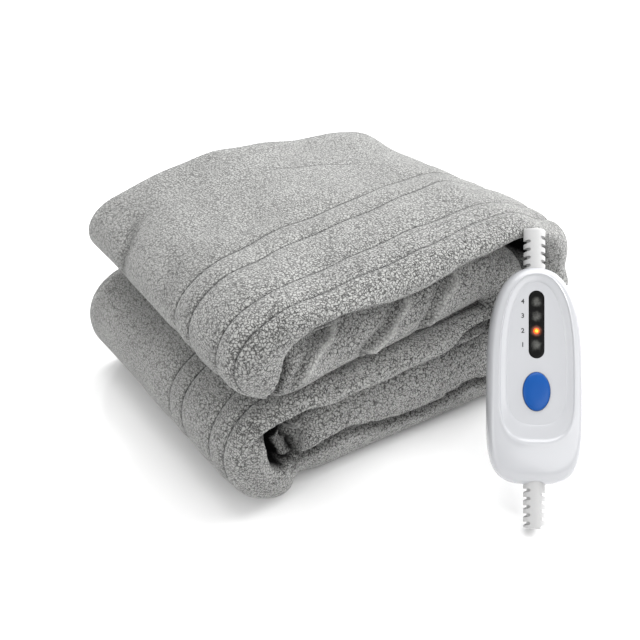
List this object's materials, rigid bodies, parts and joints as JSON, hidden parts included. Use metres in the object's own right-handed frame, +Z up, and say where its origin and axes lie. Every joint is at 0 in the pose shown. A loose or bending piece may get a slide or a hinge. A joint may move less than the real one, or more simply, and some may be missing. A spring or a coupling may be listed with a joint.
{
  "type": "electric heated blanket",
  "caption": "Soft grey heated fleece blanket folded into a neat stack, with its white oval hand controller leaning against the folds.",
  "frame": {"origin": "middle of the folded stack's flat underside, on the ground", "axes": "+Z up; +X along the blanket's heating channels, from the folded bends towards the end that hangs down; +Y across the channels, away from the lips that the controller leans on"},
  "size_m": [0.3225, 0.3746, 0.1801],
  "materials": {
    "grey_fleece": "short brushed plush nap, stitched across in straight heating channels",
    "white_gloss_plastic": "smooth gloss moulding",
    "white_soft_plastic": "satin flexible sleeve with cross slots",
    "dark_window_plastic": "smoked gloss window",
    "amber_lamp": "lit amber lens",
    "blue_gloss_plastic": "domed gloss button"
  },
  "bodies": {
    "folded_blanket": {"blanket": "grey_fleece", "housing_front": "white_gloss_plastic", "housing_back": "white_gloss_plastic", "display_window": "dark_window_plastic", "power_lamp": "amber_lamp", "upper_relief": "white_soft_plastic", "lower_relief": "white_soft_plastic"},
    "button": {"power_button": "blue_gloss_plastic"}
  },
  "joints": [
    {"name": "button_press", "type": "slide", "parent": "folded_blanket", "child": "button", "axis": [0.4577, 0.603, -0.6534], "range_m": [0, 0.0012], "stiffness_N_per_m": 1500}
  ]
}
